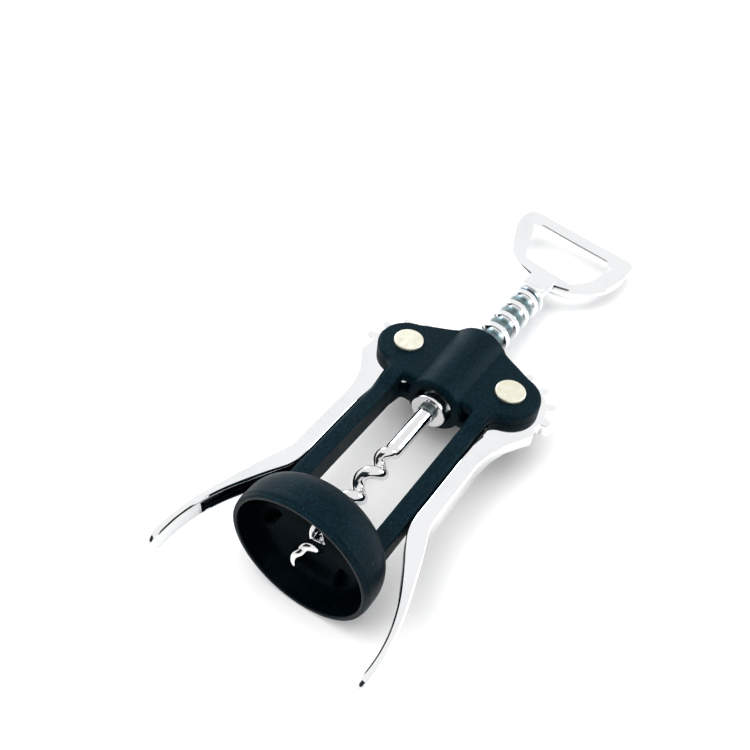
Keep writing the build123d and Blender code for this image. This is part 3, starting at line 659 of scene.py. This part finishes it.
def add_sleeve(shell, s):
    """Sleeve: a tube with a window on each side where the teeth come through.

    Outside radius grows a little along Y, swells into a fillet on the plates and rounds off at both ends.
    """
    slot = s.slot_half / MM + 0.02

    def spread(radius):
        """Angles round the tube, 8 steps over each window and 62 between."""
        cut = math.asin(slot / radius)
        window = np.linspace(-cut, cut, 9)
        wall = np.linspace(cut, math.pi - cut, 64)[1:-1]
        return np.concatenate([window, wall, window + math.pi, wall + math.pi])

    outside, inside = spread(SLEEVE_RADIUS + 0.3), spread(SLEEVE_BORE)
    q = np.linspace(0, math.pi / 2, 7)
    inset = SLEEVE_EDGE * (1 - np.sin(q))
    step = SLEEVE_EDGE * (1 - np.cos(q))
    y = np.concatenate([SLEEVE_START + step, [67.3], np.linspace(67.6, 69.0, 6), np.linspace(70.0, 93.4, 24), [94.1],
                        SLEEVE_END - inset])
    inset = np.concatenate([inset, np.zeros(len(y) - 14), step])
    tilt = np.degrees(np.arcsin(np.abs(np.sin(outside))))
    swell = 0.2 * np.clip((43.5 - tilt) / 7.0, 0, 1) ** 2 * smooth(y - 67.4)[:, None]
    radius = SLEEVE_RADIUS + SLEEVE_GROWTH * (y - SLEEVE_START) / (SLEEVE_END - SLEEVE_START) - inset
    bore = np.where(y > 90.0, SLEEVE_LAND, SLEEVE_BORE)
    bore[[0, -1]] += 0.3
    skins = []
    for r, a in ((radius[:, None] + swell, outside), (bore[:, None], inside)):
        skins.append(grid_of(r * np.cos(a), y[:, None], r * np.sin(a)).reshape(-1, 3))

    rows, columns = len(y), len(outside)
    count = rows * columns
    edges = (0, 8, 70, 78)
    opened = (y[:-1] > 67.25) & (y[1:] < 94.15)
    window = np.zeros(columns, bool)
    window[edges[0]:edges[1]] = window[edges[2]:edges[3]] = True
    mesh = quads(rows, columns, False, True)[~(opened[:, None] & window).ravel()]

    def wall(a, b):
        """Faces between the outside and the bore along a run of grid lines."""
        return np.stack([a, b, b + count, a + count], 1)

    ring = np.arange(columns)
    faces = [mesh, mesh[:, ::-1] + count]
    faces += [wall(row * columns + ring, row * columns + (ring + 1) % columns) for row in (0, rows - 1)]
    side = np.flatnonzero(opened) * columns
    faces += [wall(side + column, side + column + columns) for column in edges]
    for row in (side[0], side[-1] + columns):
        for start in edges[::2]:
            run = row + start + np.arange(8)
            faces.append(wall(run, run + 1))
    shell.add(np.concatenate(skins), faces)


class CORKSCREW_OT_frame(bpy.types.Operator):
    """Build the moulded frame: bell, legs, plates and sleeve"""

    bl_idname = "corkscrew.frame"
    bl_label = "Moulded frame"

    def execute(self, context):
        s = context.scene.corkscrew_frame
        shell = Shell()
        add_plate(shell, s)
        shell.add_mirror(2)
        add_leg(shell, s)
        shell.add_mirror(0)
        add_sleeve(shell, s)
        add_bell(shell, s)
        plastic = moulded_plastic(context.scene.corkscrew_finishes.moulding)
        shell.dress("moulded_frame", 42.0, plastic, "frame_body", "frame", "black_plastic")
        return {"FINISHED"}


# ---- levers


def tooth_half_angle(radius):
    """Half angle of a tooth at a radius, from the involute of a 20 degree gear."""
    base = PITCH_RADIUS * math.cos(PRESSURE_ANGLE)
    at = np.arccos(np.clip(base / np.maximum(radius, base), -1, 1))
    return 1.45 / PITCH_RADIUS + (math.tan(PRESSURE_ANGLE) - PRESSURE_ANGLE) - (np.tan(at) - at)


def gear_outline(cx, cy):
    """Counter-clockwise outline of the toothed disc and the neck that runs down into the arm."""
    flank = np.linspace(12.1, 14.25, 7)
    half = tooth_half_angle(flank)
    foot = half[0] + 0.03
    tip_half = tooth_half_angle(GEAR_TIP) - 0.018
    pitch = 2 * math.pi / TEETH
    radii, angles = [], []
    for k in range(TEETH_CUT):
        mid = math.radians(FIRST_TOOTH) + pitch * k
        crown = np.linspace(mid - tip_half, mid + tip_half, 7)
        angles += [[mid - foot], mid - half, crown, mid + half[::-1], [mid + foot]]
        radii += [[GEAR_ROOT], flank, np.full(7, GEAR_TIP), flank[::-1], [GEAR_ROOT]]
        gap = np.linspace(mid + foot, mid + pitch - foot, 8)[1:-1]
        if k == TEETH_CUT - 1:
            gap = np.linspace(mid + foot + 0.05, math.radians(268.5), 20)
        angles.append(gap)
        radii.append(np.full(len(gap), GEAR_ROOT))
    a, r = np.concatenate(angles), np.concatenate(radii)
    disc = np.stack([cx + r * np.cos(a), cy + r * np.sin(a)], 1)
    bottom = rounded([(17.55, 66.5), (17.6, 52.0), (22.4, 52.0), (22.7, 54.2)], [0, 1.1, 1.1, 0], 6, closed=False)
    edge = soft_path([(22.7, 54.2)] + NECK_EDGE, 6)
    step = rounded([edge[-1], (29.3, 74.3), (28.9, 75.3)], [0, 0.5, 0], 4, closed=False)
    bend = rounded([edge[-2], edge[-1], step[1]], [0, 0.6, 0], 4, closed=False)
    return np.vstack([disc, bottom[:-1], edge[:-1], bend[1:-1], step[1:-1]])


def add_gear(shell, s, cx, cy):
    """Toothed disc: rings from the outline to the hub's hole, with soft rims."""
    outline = gear_outline(cx, cy)
    top = s.gear_half / MM
    hole = hinge_hole(outline, np.array([cx, cy]))
    rings = slab_rings(outline, top, GEAR_RIM, 4, 0.03)
    shell.add_ring(np.concatenate([level(hole, -top)[None], rings, level(hole, top)[None]]))


def along(points, y):
    """Sideways place of an edge at a height, read off a smooth curve through its points."""
    curve = soft_path(points, 16)
    order = np.argsort(curve[:, 1])
    return np.interp(y, curve[order, 1], curve[order, 0])


def add_arm(shell, s):
    """Right arm: a C-shaped section carried down the arm, at constant heights.

    The section goes round the outer wall and both flanges and back along the hollow, whose depth
    fades out toward the gear and the tip. Corners are quarter arcs about centres set in by their radius.
    """
    q = np.linspace(0, math.pi / 2, 14)
    y = np.concatenate([np.linspace(63.0, 49.0, 30), np.linspace(48.0, 30.0, 20), np.linspace(29.5, -16.0, 110),
                        -16.4 + (ARM_TIP + 16.4) * np.sin(q)])
    outer = np.where(y > 52.0, along(ARM_NECK, y), along(ARM_OUTSIDE, y))
    inner = along(ARM_INSIDE, y)
    half = s.half_height / MM
    thin = s.gear_half / MM + 0.004
    height = thin + (half - thin) * smooth((60.5 - y) / 11.0)
    height = height * np.sqrt(1 - np.clip((-15.0 - y) / 4.0, 0, 1) ** 2 * 0.9)
    close = np.clip((-17.1 - y) / (-17.1 - ARM_TIP), 0, 1)
    pinch = 1 - np.sqrt(1 - close**2)
    middle = (outer + inner) / 2
    outer = outer + (middle - outer) * pinch * 0.97
    inner = inner + (middle - inner) * pinch * 0.97
    width = outer - inner
    wall = np.minimum(s.wall / MM * (1 - 0.45 * smooth((12.0 - y) / 20.0)), width * 0.62)
    flange = np.minimum(s.flange / MM, height * 0.45)
    depth = np.maximum((width - wall) * smooth((50.0 - y) / 5.0) * smooth((y + 2.7) / 2.2), 0.02)
    lip = height - flange
    grow = smooth((60.5 - y) / 9.0)
    hard = np.minimum(GEAR_RIM + (s.edge / MM - GEAR_RIM) * grow, np.minimum(width, height) * 0.45)
    soft = np.minimum(GEAR_RIM + (0.8 - GEAR_RIM) * grow, np.minimum(width * 0.4, flange * 0.62))
    thumb = np.minimum(0.28, np.minimum(depth * 0.4, flange * 0.3))
    root = np.minimum(0.5, np.minimum(depth * 0.45, lip * 0.4))
    corners = (
        (inner + soft, soft - height, soft, 180, 270, 6),
        (outer - hard, hard - height, hard, 270, 360, 6),
        (outer - hard, height - hard, hard, 0, 90, 6),
        (inner + soft, height - soft, soft, 90, 180, 6),
        (inner + thumb, lip + thumb, thumb, 180, 270, 6),
        (inner + depth - root, lip - root, root, 90, 0, 5),
        (inner + depth - root, root - lip, root, 0, -90, 5),
        (inner + thumb, -lip - thumb, thumb, 90, 180, 5),
    )
    x, z = [], []
    for across, up, radius, start, stop, count in corners:
        a = np.radians(np.linspace(start, stop, count))
        x.append(across[:, None] + radius[:, None] * np.cos(a))
        z.append(up[:, None] + radius[:, None] * np.sin(a))
    x, z = np.hstack(x), np.hstack(z)
    shell.add_tube(grid_of(x, y[:, None], z))


class CORKSCREW_OT_levers(bpy.types.Operator):
    """Build both levers: toothed disc, neck and channel-shaped arm"""

    bl_idname = "corkscrew.levers"
    bl_label = "Levers"

    def execute(self, context):
        s = context.scene.corkscrew_lever
        f = context.scene.corkscrew_frame
        chrome = lever_chrome(context.scene.corkscrew_finishes.chrome)
        for side, sign in (("right", 1), ("left", -1)):
            shell = Shell()
            add_gear(shell, s, f.rivet_x / MM, f.rivet_y / MM)
            add_arm(shell, s)
            for block in shell.points:
                block[:, 0] *= sign
            lever = "lever_" + side
            mark_hollow(shell.dress(f"lever_arm_{side}", 40.0, chrome, side + "_arm", lever, "chrome_casting"))
        return {"FINISHED"}


# ---- rivets


def add_rivet(shell, cx, cy):
    """Rivet: domed-edge head, shank and formed tail, turned about the hinge, its face dented by four soft pits."""
    flat = HEAD_RADIUS - 0.5
    arc = np.linspace(0, math.pi / 2, 8)
    face = np.linspace(0.0, flat, 16)
    crown = np.stack([face, HEAD_TOP - 0.05 * (face / HEAD_RADIUS) ** 4], 1)
    rim = np.stack([flat + 0.5 * np.sin(arc), HEAD_TOP - 0.06 - 0.5 * (1 - np.cos(arc))], 1)[1:]
    rest = [(HEAD_RADIUS, 5.9), (HEAD_RADIUS - 0.1, HEAD_SEAT), (SHANK_RADIUS, HEAD_SEAT), (SHANK_RADIUS, WASHER_BACK),
            (4.0, WASHER_BACK), (4.0, -6.9), (3.75, -7.2), (3.2, -7.26), (1.4, -7.2), (1.0, -6.95), (0.0, -6.9)]
    shell.add_turned(np.vstack([crown, rim, rest]), (cx, cy), 2)
    x, y, z = shell.points[-1].T
    pits = [deep * np.exp(-((x - cx - px) ** 2 + (y - cy - py) ** 2) / size**2) for px, py, size, deep in DENTS]
    z -= np.where(z > 6.5, sum(pits), 0.0)


class CORKSCREW_OT_rivets(bpy.types.Operator):
    """Build the hinge rivets and the washers under their formed ends"""

    bl_idname = "corkscrew.rivets"
    bl_label = "Rivets"

    def execute(self, context):
        f = context.scene.corkscrew_frame
        nickel = pale_nickel(context.scene.corkscrew_finishes.nickel)
        for side, sign in (("right", 1), ("left", -1)):
            cx, cy = sign * f.rivet_x / MM, f.rivet_y / MM
            shell = Shell()
            add_rivet(shell, cx, cy)
            shell.dress("hinge_rivet_" + side, 38.0, nickel, "frame_body", "rivet_" + side, "nickel_rivet")
            ring = rounded(box(SHANK_RADIUS + 0.04, 4.7, WASHER_BACK, -HEAD_SEAT), [0.1, 0.2, 0.1, 0.1], 4)
            shell = Shell().add_turned(ring, (cx, cy), 2, 72)
            name, node = "back_washer_" + side, "rivet_washer_" + side
            shell.dress(name, 38.0, nickel, "frame_body", node, "steel_washer")
        return {"FINISHED"}


# ---- shaft, worm and handle


def add_shaft(shell, s):
    """Ringed shaft turned about Y: rings with 20 degree flanks and rounded crests on a plain root."""
    root, crest = s.root / MM, s.crest / MM
    corners = [(0.0, 61.4), (2.9, 61.4), (2.9, 62.1), (2.6, 62.15), (2.6, 64.3), (3.9, 64.35), (3.9, 67.2)]
    radii = [0, 0.2, 0.15, 0.05, 0.05, 0.2, 0.2]
    for k in range(RINGS):
        mid = FIRST_RING + 2 * math.pi * PITCH_RADIUS / TEETH * k
        corners += [(root, mid - ROOT_HALF), (crest, mid - CREST_HALF)]
        corners += [(crest, mid + CREST_HALF), (root, mid + ROOT_HALF)]
        radii += [0.35, 0.5, 0.5, 0.35]
    corners += [(root, 127.35), (2.2, 127.35), (2.2, 134.4), (0.0, 134.4)]
    radii += [0, 0.1, 0.2, 0]
    shell.add_turned(rounded(corners, radii, 5, closed=False, hold=0.06))


def worm_line(s, count=560):
    """Centre line and angle of the wire: x = R sin t, z = R cos t, with t growing along Y.

    R rises from the rod by a cubic step, dips over the last turn and grows again at the point.
    Near the point the turns close up with the square of the depth.
    """
    y = np.linspace(WIRE_START, WIRE_POINT, count)
    turn = 2 * math.pi * (y - 32.9) / LEAD - 1.7 * np.maximum(1 - y / CLOSING, 0) ** 2
    last = np.maximum(1 - y / 5.2, 0)
    swing = s.helix / MM * smooth((WIRE_START - y) / 5.2) + 2.45 * last**4 - 1.35 * np.sin(math.pi * last) ** 2
    return np.stack([swing * np.sin(turn), y, swing * np.cos(turn)], 1), turn


def add_worm(shell, s):
    """Wire of round section along the coil, thinning to a point, below a straight rod with a rounded end."""
    line, turn = worm_line(s)
    tangent = np.gradient(line, axis=0)
    tangent /= np.linalg.norm(tangent, axis=1, keepdims=True)
    radial = np.stack([np.sin(turn), np.zeros(len(turn)), np.cos(turn)], 1)
    radial -= tangent * np.sum(radial * tangent, 1, keepdims=True)
    radial /= np.linalg.norm(radial, axis=1, keepdims=True)
    other = np.cross(tangent, radial)
    gap = np.concatenate([[0], np.cumsum(np.linalg.norm(np.diff(line, axis=0), axis=1))])
    left = gap[-1] - gap
    radius = s.wire / MM * np.clip(0.1 + 0.9 * (left / 11.0) ** 0.62, 0, 1)
    a = np.linspace(0, 2 * math.pi, 28, endpoint=False)[:, None]
    ring = radial[:, None] * np.cos(a) + other[:, None] * np.sin(a)
    shell.add_tube(line[:, None] + radius[:, None, None] * ring)
    q = np.linspace(0, math.pi / 2, 14)
    end = np.stack([ROD_RADIUS * np.cos(q), 44.8 - 3.0 * np.sin(q)], 1)
    shoulder = rounded([(1.7, 61.38), (ROD_RADIUS, 61.38), (ROD_RADIUS, 45.1)], [0, 0.18, 0], 4, closed=False)
    rod = np.vstack([[(0.0, 76.0), (1.6, 76.0), (1.7, 75.9), (1.7, 61.38)], shoulder, end])
    rod[-1, 0] = 0.0
    shell.add_turned(rod, steps=64)


def polar_outline(corners, radii, count=360):
    """Evenly spaced angles about the handle's centre, and the distance to a rounded outline at each."""
    path = rounded(corners, radii, 12, hold=0.3)
    steps = np.linspace(0, 1, 12, endpoint=False)[None, :, None]
    dense = path[:, None] + (np.roll(path, -1, 0) - path)[:, None] * steps
    dense = dense.reshape(-1, 2) - HANDLE_CENTRE
    at = np.unwrap(np.arctan2(dense[:, 1], dense[:, 0]))
    at = np.concatenate([at - 2 * math.pi, at, at + 2 * math.pi])
    order = np.argsort(at)
    want = np.linspace(-math.pi, math.pi, count, endpoint=False)
    return want, np.interp(want, at[order], np.tile(np.linalg.norm(dense, axis=1), 3)[order])


def add_handle(shell, s):
    """D-shaped plate ring: between its outer and inner outlines each ray carries a rounded section.

    The upper face is level. The depth and the outer rims grow by a cubic step toward the neck.
    """
    angle, far = polar_outline(HANDLE_OUTSIDE, HANDLE_OUTSIDE_RADII)
    angle, near = polar_outline(HANDLE_OPENING, 1.4)
    top = s.handle_half / MM
    bar = smooth((62.0 - np.degrees(np.abs(angle + math.pi / 2))) / 26.0)
    deep = 3.0 + (2 * top - 3.0) * bar
    right = smooth((68.0 - np.degrees(np.abs(angle + math.radians(52.0)))) / 34.0)
    outer_edge, inner_edge = 0.8 + 0.6 * right + 1.4 * right * bar, np.full(len(bar), 0.9)
    steps = np.radians(np.linspace(0, 90, 9))
    across, up = [], []
    for place, edge, sx, sz, start in ((far, outer_edge, 1, 1, 0), (near, inner_edge, -1, 1, 90),
                                       (near, inner_edge, -1, -1, 180), (far, outer_edge, 1, -1, 270)):
        a = steps + math.radians(start)
        face = top if sz > 0 else top - deep
        across.append((place - sx * edge)[:, None] + edge[:, None] * np.cos(a))
        up.append((face - sz * edge)[:, None] + edge[:, None] * np.sin(a))
    reach, up = np.hstack(across), np.hstack(up)
    x = HANDLE_CENTRE[0] + reach * np.cos(angle)[:, None]
    y = HANDLE_CENTRE[1] + reach * np.sin(angle)[:, None]
    shell.add_ring(rolled(x, y, up, s.handle_roll))


def add_neck(shell, s):
    """Round collar, and a neck whose section squares off along Y into a flat tab under the ring.

    Section: x = w cos(a)^(2/p), z = h sin(a)^(2/p), with the power p growing from 2 to 9.
    """
    shell.add_turned(rounded(box(2.25, 6.0, 127.4, 128.8), [0.05, 0.5, 0.5, 0.05], 6))
    flat = s.handle_half / MM - 0.015
    shape = np.array(NECK + [(y, TAB_HALF, flat, TAB_POWER) for y in TAB_PLACES])
    a = np.linspace(0, 2 * math.pi, 144, endpoint=False)[None]
    y, wide, high, power = (shape[:, k:k + 1] for k in range(4))
    x = wide * np.sign(np.cos(a)) * np.abs(np.cos(a)) ** (2 / power)
    z = high * np.sign(np.sin(a)) * np.abs(np.sin(a)) ** (2 / power)
    shell.add_tube(rolled(x, y, z, s.handle_roll))


class CORKSCREW_OT_screw(bpy.types.Operator):
    """Build the ringed shaft, its guide washer, the worm and its pin"""

    bl_idname = "corkscrew.screw"
    bl_label = "Shaft and worm"

    def execute(self, context):
        s = context.scene.corkscrew_screw
        colours = context.scene.corkscrew_finishes
        ringed = ringed_chrome(colours.chrome)
        steel = bright_chrome(colours.worm_steel, "plated_wire", 0.00002)
        shell = Shell()
        add_shaft(shell, s)
        shell.dress("ringed_shaft", 50.0, ringed, "screw_body", "rack_shaft", "chrome_casting")
        shell = Shell()
        add_worm(shell, s)
        shell.dress("wire_worm", 50.0, steel, "screw_body", "worm", "steel_worm")
        pin = rounded(box(0.0, 0.7, -2.9, 2.9), [0, 0.15, 0.15, 0], 4, closed=False)
        shell = Shell().add_turned(pin, (72.66, 0.0), 0, 32)
        shell.dress("cross_pin", 38.0, steel, "screw_body", "worm_pin", "steel_washer")
        shell = Shell().add_turned(rounded(box(2.65, 5.6, 62.83, 64.27), [0.1, 0.35, 0.35, 0.1], 5))
        shell.dress("guide_ring", 38.0, steel, "washer_body", "guide_washer", "steel_washer")
        return {"FINISHED"}


class CORKSCREW_OT_handle(bpy.types.Operator):
    """Build the D-shaped handle with its neck"""

    bl_idname = "corkscrew.handle"
    bl_label = "Handle"

    def execute(self, context):
        s = context.scene.corkscrew_screw
        chrome = bright_chrome(context.scene.corkscrew_finishes.chrome)
        shell = Shell()
        add_handle(shell, s)
        add_neck(shell, s)
        shell.dress("cap_lifting_handle", 50.0, chrome, "screw_body", "cap_lifter", "chrome_casting")
        return {"FINISHED"}


# ---- stage


def facing(place, aim, roll=0.0):
    """Side, up and back of something at a place that looks at its aim, turned about its view."""
    back = np.subtract(place, aim)
    back /= np.linalg.norm(back)
    side = np.cross([0, 0, 1.0], back)
    side /= np.linalg.norm(side)
    up = np.cross(back, side)
    return side * math.cos(roll) + up * math.sin(roll), up * math.cos(roll) - side * math.sin(roll), back


def put(name, data, place, axes):
    """New object at a place, turned to the given side, up and back."""
    item = bpy.data.objects.new(name, data)
    item.matrix_world = Matrix(np.vstack([np.column_stack([*axes, place]), [0, 0, 0, 1]]))
    bpy.context.scene.collection.objects.link(item)
    return item


def area_light(name, place, size, power):
    """Square lamp that looks at the tool and shows in no reflection."""
    light = bpy.data.lights.new(name, "AREA")
    light.size = size
    light.energy = power
    put(name, light, place, facing(place, TOOL_MIDDLE)).visible_glossy = False


def sheet(name, corners, material):
    """One flat four-sided face that belongs to the stage."""
    mesh = bpy.data.meshes.new(name)
    mesh.from_pydata(corners, [], [(0, 1, 2, 3)])
    mesh.materials.append(material)
    item = bpy.data.objects.new(name, mesh)
    bpy.context.scene.collection.objects.link(item)
    return item


def card(name, place, width, height, tone):
    """Card of one tone that only reflections see, square to the tool."""
    side, up, back = facing(place, TOOL_MIDDLE)
    corners = [place + side * x * width / 2 + up * y * height / 2 for x, y in SQUARE]
    sockets = {"Base Color": (0, 0, 0, 1), "Roughness": 1.0, "Specular IOR Level": 0.0,
               "Emission Color": tone + (1.0,), "Emission Strength": 1.0}
    item = sheet(name, corners, Finish(name).surface(sockets))
    item.visible_camera = item.visible_diffuse = item.visible_shadow = False


def ground_finish(base):
    """Pale matt ground near the tool, which fades to plain white far from it for the eye and for reflections."""
    f = Finish("pale_ground")
    far = f.length(f.place).between(0.35, 0.85)
    matt = f.node("ShaderNodeBsdfDiffuse", {"Color": colour(base)})
    white = f.node("ShaderNodeEmission", {"Color": WHITE, "Strength": 1.0})
    mix = f.node("ShaderNodeMixShader", {0: far * f.in_view(), 1: matt.outputs[0], 2: white.outputs[0]})
    return f.shaded(mix)


class CORKSCREW_OT_stage(bpy.types.Operator):
    """Build the ground, camera and studio lights"""

    bl_idname = "corkscrew.stage"
    bl_label = "Stage"

    def execute(self, context):
        s = context.scene.corkscrew_stage
        camera = bpy.data.cameras.new("Camera")
        camera.sensor_width = 36.0
        camera.lens = s.lens
        camera.clip_start = 0.01
        camera.clip_end = 60.0
        flat = math.cos(s.elevation)
        away = np.array([math.sin(s.azimuth) * flat, -math.cos(s.azimuth) * flat, math.sin(s.elevation)])
        place = CAMERA_TARGET + away * s.distance
        context.scene.camera = put("Camera", camera, place, facing(place, CAMERA_TARGET, s.roll))

        slope = math.tan(s.floor_tilt)
        corners = [(x * GROUND_HALF, y * GROUND_HALF, GROUND_LEVEL + slope * (y * GROUND_HALF - GROUND_TOUCH))
                   for x, y in SQUARE]
        sheet("ground", corners, ground_finish(context.scene.corkscrew_finishes.floor))
        card("room_side", (-0.234, -1.40, 1.17), 2.3, 1.35, (0.026, 0.032, 0.034))
        area_light("key", (-0.55, -0.35, 1.0), 1.1, 11.0)
        area_light("overhead", (0.1, 0.45, 1.1), 1.1, 7.0)
        card("right_strip", (0.78, 0.75, 0.39), 0.3, 0.6, (8.0, 9.6, 10.6))
        card("left_strip", (-0.84, 0.72, 0.38), 0.3, 0.6, (6.0, 7.6, 8.6))

        world = bpy.data.worlds.new("room")
        context.scene.world = world
        world.use_nodes = True
        room = Nodes(world.node_tree)
        soft = room.node("ShaderNodeBackground", {"Color": WHITE, "Strength": 0.82})
        white = room.node("ShaderNodeBackground", {"Color": WHITE, "Strength": 1.0})
        mix = room.node("ShaderNodeMixShader", {0: room.in_view(), 1: soft.outputs[0], 2: white.outputs[0]})
        room.node("ShaderNodeOutputWorld", {"Surface": mix.outputs[0]})
        context.scene.view_settings.view_transform = "Standard"
        return {"FINISHED"}


class CORKSCREW_PT_panel(bpy.types.Panel):
    """Sidebar panel with one button for each group of pieces"""

    bl_idname = "CORKSCREW_PT_panel"
    bl_label = "Wing corkscrew"
    bl_space_type = "VIEW_3D"
    bl_region_type = "UI"
    bl_category = "Corkscrew"

    def draw(self, context):
        for operator in OPERATORS:
            self.layout.operator(operator.bl_idname)


GROUPS = {
    "corkscrew_frame": CorkscrewFrameSizes,
    "corkscrew_lever": CorkscrewLeverSizes,
    "corkscrew_screw": CorkscrewScrewSizes,
    "corkscrew_finishes": CorkscrewFinishes,
    "corkscrew_stage": CorkscrewStage,
}
OPERATORS = (
    CORKSCREW_OT_stage,
    CORKSCREW_OT_frame,
    CORKSCREW_OT_levers,
    CORKSCREW_OT_rivets,
    CORKSCREW_OT_screw,
    CORKSCREW_OT_handle,
)


def register():
    for name, group in GROUPS.items():
        bpy.utils.register_class(group)
        setattr(bpy.types.Scene, name, bpy.props.PointerProperty(type=group))
    for item in OPERATORS + (CORKSCREW_PT_panel,):
        bpy.utils.register_class(item)


def unregister():
    for item in (CORKSCREW_PT_panel,) + OPERATORS[::-1]:
        bpy.utils.unregister_class(item)
    for name, group in GROUPS.items():
        delattr(bpy.types.Scene, name)
        bpy.utils.unregister_class(group)


def main():
    register()
    bpy.ops.corkscrew.stage()
    bpy.ops.corkscrew.frame()
    bpy.ops.corkscrew.levers()
    bpy.ops.corkscrew.rivets()
    bpy.ops.corkscrew.screw()
    bpy.ops.corkscrew.handle()


if __name__ == "__main__":
    main()
